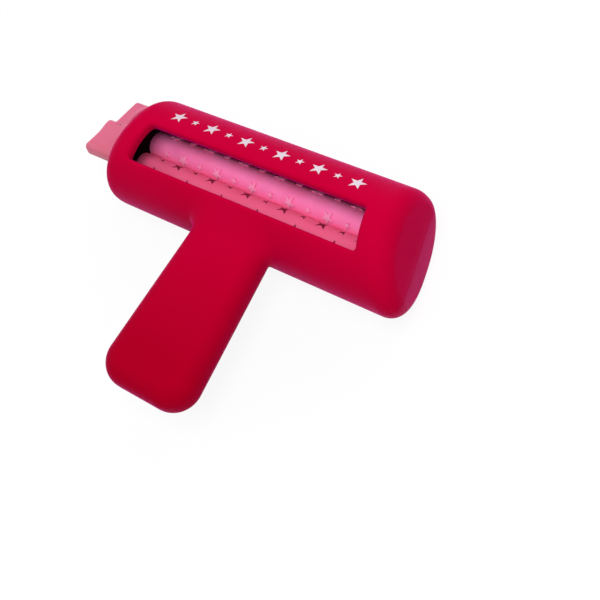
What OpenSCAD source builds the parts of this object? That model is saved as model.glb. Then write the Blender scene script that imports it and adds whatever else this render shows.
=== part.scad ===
// Hand-held embossing machine: a T-shaped casing whose head holds two geared star rollers.
// X runs along the rollers, Y from the handle to the head and Z out of the front.
// The origin is on the flat under the head, beside the slot and on the plane of symmetry.

/* [Head] */
// Radius of the head's barrel, from front to back of the window
head_r = 27.3; // [26.5:0.1:30]
// Length of the head between its end faces, on the axis
head_l = 158; // [156:1:176]
// Slant of each end face, with the head longer towards the handle
head_taper = 12; // [8:0.5:12]
// Lean of each end face, with the head longest at the seam
head_lean = 7.5; // [4:0.5:8]
// Radius of the round edge at each end
end_round = 9; // [7:0.5:10]
// Height of the barrel's axis over the flat back
axis_z = 22; // [21:0.5:23]
// Distance from the origin to the barrel's axis
head_y = 12; // [11:0.1:13]
// Thickness of the casing's walls
wall = 2.5; // [1.8:0.1:3]
// Gap along the seam between the two shells
seam = 0.2; // [0.1:0.05:0.4]

/* [Windows] */
// Length of the front window, halfway across it
window_l = 125; // [90:1:126]
// Width of the front window
window_w = 18; // [14:0.5:22]
// Shift of the front window from the barrel's axis, towards the handle
window_shift = 4.3; // [2:0.1:6]
// Radius of the front window's corners
window_corner_r = 1.5; // [1:0.5:5]
// Width of the slot in the back where the paper comes out
exit_w = 14; // [10:0.5:18]

/* [Handle] */
// Width of the handle where it meets the head
handle_top_w = 38.5; // [36:0.5:50]
// Width of the handle at the butt
handle_butt_w = 48.8; // [44:0.2:60]
// Distance from the barrel's axis to the butt
handle_l = 105.5; // [100:0.5:130]
// Thickness of the handle
handle_t = 20; // [19:0.5:24]
// Height of the handle's front over the barrel's axis
handle_front = 16.8; // [15:0.1:17]
// Radius of the butt's corners
butt_corner_r = 13; // [10:0.5:18]
// Radius of the handle's long edges
handle_edge_r = 9; // [6:0.5:9]

/* [Rollers] */
// Distance between the two roller axes, and the pitch diameter of the gears
roller_pitch = 13; // [13:0.5:15]
// Gap between the two plain roller faces
nip_gap = 0.2; // [0.1:0.05:0.4]
// Distance from the head's left end to the rollers
left_gap = 6; // [6:0.1:8]
// Distance from the head's right end to the rollers
right_gap = 15.5; // [15:0.1:18]
// Shift of the driven roller from the barrel's axis, away from the handle
drive_shift = 5.6; // [4:0.1:7]
// Tilt of the roller pair, with the counter roller nearer the front
roller_tilt = 4; // [0:1:14]
// Thickness of each roller's sleeve
sleeve_t = 2; // [1.6:0.1:2.4]
// Width of the plain band on each end hub
hub_band = 2.5; // [2:0.1:4]
// Depth that each hub's spigot goes into the sleeve
hub_spigot = 8; // [5:0.5:14]

/* [Stars] */
// Tip radius of a large star on the rollers
star_r = 3.3; // [2.6:0.1:3.6]
// Tip radius of a small star on the rollers
small_star_r = 1.7; // [1.2:0.1:2.2]
// Height of the raised stars
star_relief = 0.6; // [0.4:0.05:0.7]
// Extra depth of the sunk stars
star_floor = 0.15; // [0.1:0.05:0.3]
// Room around a raised star in its sunk star
star_room = 0.3; // [0.2:0.05:0.5]
// Distance between neighbouring stars along a roller
star_step = 10.6; // [9:0.1:11]
// Stars in a row
star_columns = 12; // [9:1:12]
// Rows of stars around a roller
star_rows = 4; // [2:2:4]
// Place of the first star along a roller
star_start = -61.2; // [-64:0.1:-56]
// Angle of the first row before the nip
star_lead = 42.5; // [0:0.5:80]

/* [Printed stars] */
// Tip radius of a large printed star
print_star_r = 4.4; // [3:0.1:5]
// Tip radius of a small printed star
print_small_r = 2.2; // [1.5:0.1:3]
// Distance between neighbouring printed stars
print_step = 10; // [9:0.1:12]
// Printed stars in the row
print_count = 11; // [7:2:11]
// Angle of the printed row from the front, away from the handle
print_angle = 30; // [26:1:40]
// Thickness of the print
print_t = 0.12; // [0.08:0.02:0.2]

/* [Shafts and gears] */
// Diameter of the two shafts
shaft_d = 5; // [4:0.1:5]
// Running clearance between a shaft and its bush, on the radius
run_clear = 0.05; // [0.02:0.01:0.1]
// Clearance of a part fixed in its seat
seat_clear = 0.03; // [0.02:0.01:0.05]
// Wall of a bush
bush_wall = 1.4; // [1:0.1:1.6]
// Thickness of a bush's flange
bush_flange_t = 0.8; // [0.6:0.1:1.2]
// Width of a bush's flange beyond its barrel
bush_flange_w = 0.9; // [0.5:0.1:1]
// Play along the shafts at each bush
end_play = 0.2; // [0.1:0.05:0.4]
// Length of the counter shaft's bush in the left end
left_bush_l = 3; // [2.4:0.1:3.2]
// Plastic around a bush in the left end
seat_wall = 2; // [1.5:0.1:2.5]
// Thickness of the bearing plate
plate_t = 2; // [1.6:0.1:3]
// Clearance of the bearing plate in the casing
plate_clear = 0.2; // [0.1:0.05:0.3]
// Width of the ribs that hold the bearing plate
rib_t = 1.6; // [1.2:0.1:2]
// Lap of the ribs over the rim of the bearing plate
rib_lap = 2; // [1:0.1:2.5]
// Teeth on each gear
gear_teeth = 13; // [12:1:14]
// Width of the gears
gear_w = 3; // [2:0.1:3.4]
// Pressure angle of the gears
gear_angle = 25; // [22:1:26]
// Backlash of the gears, on the pitch circle
gear_backlash = 0.25; // [0.15:0.05:0.4]

/* [Turn key] */
// Reach of the grip's tall half to the side of the axis
key_tall_w = 19.2; // [17:0.1:22]
// Reach of the grip's low half to the side of the axis
key_low_w = 17.2; // [13:0.1:18]
// Thickness of the key's grip
key_t = 8.3; // [8:0.1:12]
// Reach of the grip's tall half beyond the flange
key_tall = 22.4; // [20:0.1:25]
// Reach of the grip's low half beyond the flange
key_low = 18.3; // [15:0.1:19]
// Place of the step from the axis, towards the low half
key_step = 0.9; // [0:0.1:3]
// Radius of the grip's edges
key_edge_r = 1.8; // [1:0.1:3]
// Radius of the key's flange
key_flange_r = 16; // [12:0.5:18]
// Thickness of the key's flange
key_flange_t = 2.2; // [1.6:0.1:3]
// Height of the round boss that the key turns against
key_boss_h = 2; // [2:0.1:3]
// Radius of the round boss that the key turns against
key_boss_r = 8; // [7.5:0.1:9]
// Gap between the key's flange and the washer
key_gap = 0.3; // [0.2:0.05:0.5]
// Angle at which the grip stands
key_turn = 17.2; // [0:0.2:30]
// Wall left over the end of the shaft in the key
key_end_wall = 2; // [1.5:0.1:3]
// Thickness of the washer behind the key
washer_t = 0.6; // [0.4:0.1:1]
// Width of the washer's ring
washer_w = 3.5; // [2.5:0.1:4.5]
// Diameter of the key's grub screw
grub_d = 2.5; // [2:0.1:4]
// Depth of the grub screw's head under the grip's face
grub_sink = 0.6; // [0.2:0.1:1]
// Distance of the grub screw from the end of the shaft
grub_inset = 2.2; // [1.8:0.1:4]

/* [Screws] */
// Diameter of a casing screw's shank
screw_d = 2.8; // [2.2:0.1:3]
// Diameter of a casing screw's head
screw_head_d = 5.6; // [4.6:0.1:6]
// Height of a casing screw's head
screw_head_h = 2; // [1.6:0.1:2.6]
// Length of the head screws' shanks
head_screw_l = 22; // [20:0.5:23]
// Height of the seats under the head screws
head_seat_z = 8; // [7.5:0.5:9]
// Length of the handle screws' shanks
handle_screw_l = 10; // [8:0.5:11]
// Depth of the handle screws' seats under the handle's back
handle_seat = 2; // [2:0.1:2.8]
// Radius of a screw boss
boss_r = 4; // [3.8:0.1:4.4]
// Distance of the head's bosses from the middle
head_boss_x = 52; // [40:1:54]
// Distance of the head's bosses from the barrel's axis
head_boss_y = 19.5; // [19:0.1:20]
// Distance of the handle's bosses from its middle line
handle_boss_x = 11; // [9:0.5:12]
// Clearance around a casing screw
screw_clear = 0.1; // [0.05:0.01:0.2]

/* [Hidden] */
$fn = 64;
casing_red = "#c8003c";
roller_pink = "#e1699f";
key_pink = "#e47694";
frame_black = "#1d1d20";
steel_grey = "#b4b6ba";
nylon_white = "#e8e4da";
star_white = "#dfd2d6";

head_end = head_l / 2;
drive_y = head_y + drive_shift;
drive_z = axis_z;
counter_y = drive_y - roller_pitch * cos(roller_tilt);
counter_z = drive_z + roller_pitch * sin(roller_tilt);
window_y = head_y - window_shift;
nip_y = (drive_y + counter_y) / 2;
butt_y = head_y - handle_l;

shaft_r = shaft_d / 2;
bush_r = shaft_r + run_clear + bush_wall;
bush_flange_r = bush_r + bush_flange_w;
left_end = head_end - left_gap;
right_end = head_end - right_gap;
left_seat = left_end + end_play + bush_flange_t;
plate_in = right_end + end_play + bush_flange_t;
plate_out = plate_in + plate_t;
gear_in = plate_out + end_play;
shaft_tail = gear_in + gear_w + end_play;
sleeve_r = (roller_pitch - nip_gap) / 2;
bore_r = sleeve_r - sleeve_t;
sleeve_left = left_end - hub_band;
sleeve_right = right_end - hub_band;

key_face = head_end + key_boss_h;
washer_in = key_face + seat_clear;
flange_in = washer_in + washer_t + key_gap;
grip_in = flange_in + key_flange_t;
shaft_nose = grip_in + key_low - key_end_wall;
grub_x = shaft_nose - grub_inset;

handle_top = axis_z + handle_front;
handle_back = handle_top - handle_t;
handle_seat_z = handle_back + handle_seat;

round_steps = 6;
edge_steps = 5;
joint_over = 1;
far = 400;

head_screw_places = [for (side = [-1, 1], row = [-1, 1])
    [side * head_boss_x, head_y + row * head_boss_y]];
handle_screw_places = [for (side = [-1, 1], y = [butt_y + butt_corner_r, head_y - head_r - 2 * boss_r - wall])
    [side * handle_boss_x, y + boss_r]];

// The largest radius that is free inside the head at a distance along the axis
function free_r(x) =
    let (s = max(x - head_end + end_round + head_r * tan(head_taper), 0))
    head_r - end_round + sqrt(pow(end_round - wall, 2) - s * s);

plate_r = free_r(plate_out + plate_clear) - plate_clear;

// A cylinder along X from x = a to x = b
module rod(a, b, r) {
    translate([a, 0, 0]) rotate([0, 90, 0]) cylinder(r = r, h = b - a);
}

// A ring along X from x = a to x = b
module ring(a, b, outer, inner) {
    difference() {
        rod(a, b, outer);
        rod(a - joint_over, b + joint_over, inner);
    }
}

module at_drive() {
    translate([0, drive_y, drive_z]) children();
}

module at_counter() {
    translate([0, counter_y, counter_z]) children();
}

// The rounded right end of the head: two half discs that lean back from the seam
module head_tip(inset) {
    arc = end_round - inset;
    core = head_r / cos(head_taper) - end_round;
    rim = [for (i = [0:round_steps]) let (a = 90 * i / round_steps) [core + arc * cos(a), arc * sin(a)]];
    translate([head_end - end_round, 0, 0]) rotate([0, 0, head_taper])
        for (half = [0, 1]) mirror([0, 0, half])
            rotate([0, -head_lean, 0]) rotate([90, 0, 90])
            rotate_extrude(angle = 180) polygon(concat([[0, 0]], rim, [[0, arc]]));
}

// The barrel of the head, drawn in by an inset on every side
module barrel(inset) {
    translate([0, head_y, axis_z]) hull() {
        head_tip(inset);
        mirror([1, 0, 0]) head_tip(inset);
    }
}

// A disc with rounded rims, the corner of the handle
module corner_disc(r, low, high, edge) {
    lower = [for (i = [0:edge_steps]) let (a = -90 + 90 * i / edge_steps)
        [r - edge + edge * cos(a), low + edge + edge * sin(a)]];
    upper = [for (i = [0:edge_steps]) let (a = 90 * i / edge_steps)
        [r - edge + edge * cos(a), high - edge + edge * sin(a)]];
    rotate_extrude($fn = 32) polygon(concat([[0, low]], lower, upper, [[0, high]]));
}

// The handle with its rounded edges, drawn in by an inset on every side
module handle(inset) {
    r = butt_corner_r;
    hull() for (side = [-1, 1]) {
        translate([side * (handle_butt_w / 2 - r), butt_y + r, 0])
            corner_disc(r - inset, handle_back + inset, handle_top - inset, handle_edge_r - inset);
        translate([side * (handle_top_w / 2 - r), head_y - head_r + r, 0])
            corner_disc(r - inset, handle_back + inset, handle_top - inset, handle_edge_r - inset);
    }
}

// Everything above a height
module above(z) {
    translate([-far / 2, -far / 2, z]) cube([far, far, far]);
}

// The bosses in the left end that hold the two bushes, and the flat that the key turns against
module end_bosses() {
    at_drive() rod(-key_face, -left_seat, key_boss_r);
    at_counter() rod(-left_seat - left_bush_l - seat_wall, -left_seat, bush_r + seat_wall);
}

module casing_solid() {
    intersection() {
        union() {
            barrel(0);
            handle(0);
            end_bosses();
        }
        above(0);
    }
}

module casing_hollow() {
    intersection() {
        union() {
            barrel(wall);
            handle(wall);
        }
        above(wall);
    }
}

// Ribs on both sides of the bearing plate
module plate_ribs() {
    front = plate_in - plate_clear;
    back = plate_out + plate_clear;
    translate([0, head_y, axis_z]) {
        ring(front - rib_t, front, head_r, plate_r - rib_lap);
        ring(back, back + rib_t, head_r, plate_r - rib_lap);
    }
}

module screw_bosses() {
    for (p = concat(head_screw_places, handle_screw_places))
        translate([p[0], p[1], 0]) cylinder(r = boss_r, h = axis_z + head_r);
}

// The shells' common body, still in one piece
module casing_walls() {
    difference() {
        casing_solid();
        difference() {
            casing_hollow();
            plate_ribs();
            screw_bosses();
            end_bosses();
        }
        at_drive() rod(-key_face - joint_over, -left_end, bush_r + seat_clear);
        at_counter() rod(-left_seat - left_bush_l - end_play, -left_end, bush_r + seat_clear);
    }
}

// Screw holes and head recesses from the back, up to a height
module screw_holes(places, seat, top) {
    for (p = places) translate([p[0], p[1], -joint_over]) {
        cylinder(r = screw_d / 2 + screw_clear, h = top + joint_over);
        cylinder(r = screw_head_d / 2 + screw_clear, h = seat + joint_over);
    }
}

// A block with rounded corners, standing on z = 0
module rounded_block(l, w, h, r) {
    linear_extrude(h) union() {
        square([l - 2 * r, w], center = true);
        square([l, w - 2 * r], center = true);
        for (sx = [-1, 1], sy = [-1, 1]) translate([sx * (l / 2 - r), sy * (w / 2 - r)]) circle(r);
    }
}

// The front window, with its ends parallel to the head's ends
module window_block(h) {
    r = window_corner_r;
    linear_extrude(h) hull() for (sx = [-1, 1], sy = [-1, 1]) {
        across = sy * (window_w / 2 - r);
        translate([sx * (window_l / 2 - r - across * tan(head_taper)), across]) circle(r);
    }
}

module front_shell() {
    color(casing_red) difference() {
        intersection() {
            casing_walls();
            above(axis_z + seam / 2);
        }
        translate([0, window_y, axis_z + wall]) window_block(head_r);
        screw_holes(head_screw_places, head_seat_z, head_seat_z + head_screw_l + joint_over);
        screw_holes(handle_screw_places, handle_seat_z, handle_seat_z + handle_screw_l + joint_over);
    }
}

module back_shell() {
    color(casing_red) difference() {
        casing_walls();
        above(axis_z - seam / 2);
        translate([0, nip_y, -joint_over])
            rounded_block(window_l, exit_w, axis_z / 2, window_corner_r);
        screw_holes(head_screw_places, head_seat_z, axis_z + joint_over);
        screw_holes(handle_screw_places, handle_seat_z, axis_z + joint_over);
    }
}

// A five-pointed star with its single tip along -Y, grown by a margin on every edge
module star(r, margin = 0) {
    waist = 0.4 * r;
    edge = sqrt(r * r + waist * waist - 2 * r * waist * cos(36));
    grown = 1 + margin * edge / (r * waist * sin(36));
    polygon([for (i = [0:9]) let (q = (i % 2 == 0 ? r : waist) * grown, a = 36 * i - 90)
        [q * cos(a), q * sin(a)]]);
}

// The stars follow the barrel, a hair over its surface
module star_print() {
    color(star_white) intersection() {
        translate([0, head_y, axis_z]) rotate([-print_angle, 0, 0])
            for (i = [0:print_count - 1])
            translate([(i - (print_count - 1) / 2) * print_step, 0, head_r / 2])
            linear_extrude(head_r) rotate(180) star(i % 2 == 0 ? print_star_r : print_small_r);
        difference() {
            barrel(-seam / 10 - print_t);
            barrel(-seam / 10);
        }
    }
}

module screws(places, seat, l) {
    color(steel_grey) for (p = places) translate([p[0], p[1], seat]) {
        cylinder(r = screw_d / 2, h = l);
        translate([0, 0, -screw_head_h]) cylinder(r = screw_head_d / 2, h = screw_head_h);
    }
}

module head_screws() {
    screws(head_screw_places, head_seat_z, head_screw_l);
}

module handle_screws() {
    screws(handle_screw_places, handle_seat_z, handle_screw_l);
}

// A bulkhead across the head beside the gears, drilled for the two right bushes
module bearing_plate() {
    color(frame_black) difference() {
        intersection() {
            translate([0, head_y, axis_z]) rod(plate_in, plate_out, plate_r);
            above(wall + plate_clear);
        }
        at_drive() rod(plate_in - joint_over, plate_out + joint_over, bush_r + seat_clear);
        at_counter() rod(plate_in - joint_over, plate_out + joint_over, bush_r + seat_clear);
    }
}

// A bush whose flange rests on a seat at x = a, with its barrel from there to x = b
module bush(a, b) {
    color(nylon_white) difference() {
        union() {
            rod(a - bush_flange_t, a, bush_flange_r);
            rod(a - bush_flange_t, b, bush_r);
        }
        rod(a - bush_flange_t - joint_over, b + joint_over, shaft_r + run_clear);
    }
}

module drive_right_bush() {
    at_drive() bush(plate_in, plate_out);
}

module drive_left_bush() {
    at_drive() mirror([1, 0, 0]) bush(left_seat, key_face);
}

module counter_right_bush() {
    at_counter() bush(plate_in, plate_out);
}

module counter_left_bush() {
    at_counter() mirror([1, 0, 0]) bush(left_seat, left_seat + left_bush_l);
}

// Prisms through a roller's face where its stars are, growing from an inner radius
module star_grid(inner, outer, margin) {
    for (row = [0:star_rows - 1], column = [0:star_columns - 1])
        rotate([360 / star_rows * row, 0, 0])
        translate([star_start + column * star_step, 0, inner])
        linear_extrude(outer - inner)
        star((row + column) % 2 == 1 ? star_r : small_star_r, margin);
}

// Turns a roller so that its first row lies before the nip, from the front
module drive_phase() {
    rotate([90 - roller_tilt - star_lead, 0, 0]) children();
}

module counter_phase() {
    rotate([star_lead - 90 - roller_tilt, 0, 0]) children();
}

module drive_sleeve() {
    color(roller_pink) at_drive() union() {
        ring(-sleeve_left, sleeve_right, sleeve_r, bore_r);
        intersection() {
            drive_phase() star_grid(bore_r + sleeve_t / 2, sleeve_r + 2 * star_relief, 0);
            rod(-sleeve_left, sleeve_right, sleeve_r + star_relief);
        }
    }
}

module counter_sleeve() {
    floor_r = sleeve_r - star_relief - star_floor;
    color(roller_pink) at_counter() difference() {
        ring(-sleeve_left, sleeve_right, sleeve_r, bore_r);
        difference() {
            counter_phase() mirror([0, 1, 0])
                star_grid(floor_r - sleeve_t / 4, sleeve_r + star_relief, star_room);
            rod(-sleeve_left - joint_over, sleeve_right + joint_over, floor_r);
        }
    }
}

// A hub that closes a sleeve at a roller's end, with a plain band outside
module hub(end) {
    seat = end - hub_band;
    color(roller_pink) difference() {
        union() {
            rod(seat + seat_clear, end, sleeve_r);
            rod(seat - hub_spigot, end, bore_r - seat_clear);
        }
        rod(seat - hub_spigot - joint_over, end + joint_over, shaft_r + seat_clear);
    }
}

module drive_right_hub() {
    at_drive() hub(right_end);
}

module drive_left_hub() {
    at_drive() mirror([1, 0, 0]) hub(left_end);
}

module counter_right_hub() {
    at_counter() hub(right_end);
}

module counter_left_hub() {
    at_counter() mirror([1, 0, 0]) hub(left_end);
}

module drive_shaft() {
    color(steel_grey) at_drive() rod(-shaft_nose, shaft_tail, shaft_r);
}

module counter_shaft() {
    color(steel_grey) at_counter() rod(-left_seat - left_bush_l, shaft_tail, shaft_r);
}

function involute(base, angle) = [
    base * (cos(angle) + angle * PI / 180 * sin(angle)),
    base * (sin(angle) - angle * PI / 180 * cos(angle))
];

function turned(p, a) = [p[0] * cos(a) - p[1] * sin(a), p[0] * sin(a) + p[1] * cos(a)];

// A spur gear of involute teeth around X, with one tooth along +Y
module gear() {
    gear_module = roller_pitch / gear_teeth;
    pitch_r = roller_pitch / 2;
    base_r = pitch_r * cos(gear_angle);
    tip_r = pitch_r + 0.9 * gear_module;
    root_r = pitch_r - 1.2 * gear_module;
    tip_roll = sqrt(pow(tip_r / base_r, 2) - 1) * 180 / PI;
    pitch_roll = tan(gear_angle) * 180 / PI;
    flank_turn = pitch_roll - gear_angle;
    half_tooth = (roller_pitch * PI / gear_teeth / 2 - gear_backlash / 2) / roller_pitch * 180 / PI;
    flank = [for (i = [0:4]) turned(involute(base_r, tip_roll * i / 4), -half_tooth - flank_turn)];
    other = [for (i = [4:-1:0]) [flank[i][0], -flank[i][1]]];
    root = turned([root_r, 0], -half_tooth - flank_turn);
    tooth = concat([root], flank, other, [[root[0], -root[1]]]);
    outline = [for (k = [0:gear_teeth - 1], p = tooth) turned(p, 360 / gear_teeth * k)];
    color(nylon_white) difference() {
        translate([gear_in, 0, 0]) rotate([90, 0, 90]) linear_extrude(gear_w) polygon(outline);
        rod(gear_in - joint_over, gear_in + gear_w + joint_over, shaft_r + seat_clear);
    }
}

module drive_gear() {
    at_drive() rotate([180 - roller_tilt, 0, 0]) gear();
}

module counter_gear() {
    at_counter() rotate([180 / gear_teeth - roller_tilt, 0, 0]) gear();
}

// The grip's outline seen on its flat side, with the flange at x = 0 and the tall half at -Y
module key_outline() {
    r = key_edge_r;
    union() {
        translate([0, -key_tall_w]) square([key_tall - r, key_tall_w + key_step]);
        translate([0, r - key_tall_w]) square([key_tall, key_tall_w + key_step - r]);
        translate([key_tall - r, r - key_tall_w]) circle(r);
        square([key_low - r, key_low_w]);
        square([key_low, key_low_w - r]);
        translate([key_low - r, key_low_w - r]) circle(r);
    }
}

module turn_key() {
    base = grip_in - joint_over / 2;
    color(key_pink) at_drive() rotate([-key_turn, 0, 0]) mirror([1, 0, 0]) difference() {
        union() {
            rod(flange_in, grip_in, key_flange_r);
            intersection() {
                translate([base, 0, -key_t / 2]) linear_extrude(key_t) key_outline();
                translate([base, (key_low_w - key_tall_w) / 2, 0]) rotate([90, 0, 90])
                    rounded_block(key_tall_w + key_low_w, key_t, key_tall + joint_over, key_edge_r);
            }
        }
        rod(flange_in - joint_over, shaft_nose + seat_clear, shaft_r + seat_clear);
        translate([grub_x, 0, 0]) cylinder(r = grub_d / 2 + seat_clear, h = key_t);
    }
}

module key_grub_screw() {
    base = shaft_r + seat_clear;
    color(steel_grey) at_drive() rotate([-key_turn, 0, 0])
        translate([-grub_x, 0, base])
        difference() {
            cylinder(r = grub_d / 2, h = key_t / 2 - base - grub_sink);
            translate([0, 0, (key_t / 2 - base - grub_sink) / 2])
                cylinder(r = grub_d / 4, h = key_t, $fn = 6);
        }
}

module key_washer() {
    color(frame_black) at_drive()
        ring(-washer_in - washer_t, -washer_in, shaft_r + washer_w, shaft_r + run_clear);
}

front_shell();
back_shell();
star_print();
head_screws();
handle_screws();
bearing_plate();
drive_left_bush();
drive_right_bush();
counter_left_bush();
counter_right_bush();
drive_sleeve();
drive_left_hub();
drive_right_hub();
drive_shaft();
drive_gear();
counter_sleeve();
counter_left_hub();
counter_right_hub();
counter_shaft();
counter_gear();
turn_key();
key_washer();
key_grub_screw();
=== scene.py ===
import math
import bmesh
import bpy
import numpy as np
from mathutils import Euler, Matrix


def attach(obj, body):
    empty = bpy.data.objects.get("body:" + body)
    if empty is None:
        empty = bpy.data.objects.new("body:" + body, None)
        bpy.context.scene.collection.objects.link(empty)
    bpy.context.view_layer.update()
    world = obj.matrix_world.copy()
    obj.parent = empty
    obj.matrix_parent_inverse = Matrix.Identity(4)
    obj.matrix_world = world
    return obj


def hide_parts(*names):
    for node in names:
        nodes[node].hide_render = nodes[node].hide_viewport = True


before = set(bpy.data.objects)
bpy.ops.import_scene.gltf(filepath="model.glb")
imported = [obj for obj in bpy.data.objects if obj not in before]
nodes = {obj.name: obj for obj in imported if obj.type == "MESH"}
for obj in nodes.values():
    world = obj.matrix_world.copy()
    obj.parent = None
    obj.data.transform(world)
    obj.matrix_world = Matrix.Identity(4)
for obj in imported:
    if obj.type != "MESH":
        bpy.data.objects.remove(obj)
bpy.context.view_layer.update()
scene = bpy.context.scene
mm = 0.001
print("frame:", len(nodes), "nodes")

# sizes of the pieces are in millimetres, measured from the barrel's axis, and angles are in degrees
axisPlace = {"y": 12.0, "z": 22.0}
rollers = {"driveY": 5.6, "pitch": 13.0, "tilt": 4.0, "radius": 6.4}
counterY = rollers["driveY"] - rollers["pitch"] * math.cos(math.radians(rollers["tilt"]))
counterZ = rollers["pitch"] * math.sin(math.radians(rollers["tilt"]))

casing = {
    "radiusY": 27.3, "radiusZ": 27.67, "halfLength": 79.0, "slant": 12.0, "lean": 7.5, "ridge": 3.0,
    "endRound": 9.0, "farSharper": 3.6, "sharperFrom": -2.0, "sharperOver": 24.0,
    "wall": 2.5, "back": 22.0, "backEdge": 1.4, "seam": 0.2,
    "boxLow": (-86, -109, -25), "boxHigh": (86, 31, 31), "step": 1.0, "relax": 2,
}
leftEnd = {
    "keyFace": 81.0, "keyBoss": 8.0, "keyBossEdge": 0.7, "keyBossFillet": 0.8,
    "seat": 74.0, "bushBore": 4.1, "boreLap": 1.0,
    "counterBoss": 5.95, "counterBossHalf": 2.5, "counterBoreMiddle": 1.0, "counterBoreHalf": 2.2,
}
grip = {
    "topHalf": 19.25, "buttHalf": 24.4, "corner": 13.0, "topY": -27.3, "buttY": -105.5,
    "front": 16.8, "thick": 20.0, "edge": 9.0,
    "sideBlend": 2.0, "frontBlend": 5.0, "blendFrom": 1.0, "blendOver": 14.0,
}
window = {
    "half": (62.5, 9.0), "y": -4.3, "corner": 1.5, "slant": 12.0, "from": 5.0,
    "rim": 2.0, "lip": 2.3, "lipDepth": 5.6,
}
slot = {"half": (62.5, 7.0), "y": -0.84, "corner": 1.5, "to": -5.0, "rim": 0.9}
screws = {
    "headX": 52.0, "headY": (-19.5, 19.5), "headSeat": -14.0,
    "handleX": 11.0, "handleY": (-88.5, -33.8), "handleSeat": -1.2,
    "recess": 2.9, "recessEdge": 0.4, "boss": 4.0,
}
plate = {"x": 65.5, "reach": 1.2, "rib": 1.6, "inner": 22.1}
headPlaces = [(side * screws["headX"], y) for side in (-1, 1) for y in screws["headY"]]
handlePlaces = [(side * screws["handleX"], y) for side in (-1, 1) for y in screws["handleY"]]


def roundCut(a, b, r):  # keeps what is inside both, with an edge of radius r
    return np.minimum(np.maximum(a, b), -r) + np.hypot(np.maximum(a + r, 0), np.maximum(b + r, 0))


def roundJoin(a, b, r):  # joins two forms with a fillet of radius r
    return np.maximum(np.minimum(a, b), r) - np.hypot(np.maximum(r - a, 0), np.maximum(r - b, 0))


def roundBox(x, y, half, r):  # distance to a rounded rectangle
    qx = np.abs(x) - half[0] + r
    qy = np.abs(y) - half[1] + r
    return np.minimum(np.maximum(qx, qy), 0) + np.hypot(np.maximum(qx, 0), np.maximum(qy, 0)) - r


def easeStep(t):
    t = np.clip(t, 0, 1)
    return t * t * (3 - 2 * t)


def barrelField(x, y, z):
    side = (np.hypot(y / casing["radiusY"], z / casing["radiusZ"]) - 1) * casing["radiusY"]
    slant = math.radians(casing["slant"])
    lean = math.radians(casing["lean"])
    rise = np.hypot(z, casing["ridge"]) - casing["ridge"]
    inward = np.abs(x) - casing["halfLength"] + casing["endRound"]
    along = inward * math.cos(slant) + y * math.sin(slant)
    end = along * math.cos(lean) + rise * math.sin(lean) - casing["endRound"]
    sharper = casing["farSharper"] * easeStep((y - casing["sharperFrom"]) / casing["sharperOver"])
    return roundCut(side, end, casing["endRound"] - sharper)


def handleField(x, y, z):
    r = grip["corner"]
    corners = [
        (grip["buttHalf"] - r, grip["buttY"] + r), (grip["topHalf"] - r, grip["topY"] + r),
        (r - grip["topHalf"], grip["topY"] + r), (r - grip["buttHalf"], grip["buttY"] + r),
    ]
    nearest = None
    within = None
    for (ax, ay), (bx, by) in zip(corners, corners[1:] + corners[:1]):
        ex, ey = bx - ax, by - ay
        t = np.clip(((x - ax) * ex + (y - ay) * ey) / (ex * ex + ey * ey), 0, 1)
        away = np.hypot(x - ax - ex * t, y - ay - ey * t)
        left = ex * (y - ay) - ey * (x - ax) > 0
        nearest = away if nearest is None else np.minimum(nearest, away)
        within = left if within is None else within & left
    plan = np.where(within, -nearest, nearest) - r + grip["edge"]
    height = np.abs(z - grip["front"] + grip["thick"] / 2) - grip["thick"] / 2 + grip["edge"]
    outside = np.hypot(np.maximum(plan, 0), np.maximum(height, 0))
    return np.minimum(np.maximum(plan, height), 0) + outside - grip["edge"]


def skinField(x, y, z):
    softer = easeStep((z - grip["blendFrom"]) / grip["blendOver"])
    blend = grip["sideBlend"] + grip["frontBlend"] * softer
    skin = roundJoin(barrelField(x, y, z), handleField(x, y, z), blend)
    return roundCut(skin, -z - casing["back"], casing["backEdge"])


def windowField(x, y, z):
    y = y - window["y"]
    x = np.abs(x) + y * math.tan(math.radians(window["slant"]))  # its ends run along the head's ends
    return np.maximum(roundBox(x, y, window["half"], window["corner"]), window["from"] - z)


def slotField(x, y, z):
    return np.maximum(roundBox(x, y - slot["y"], slot["half"], slot["corner"]), z - slot["to"])


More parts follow.
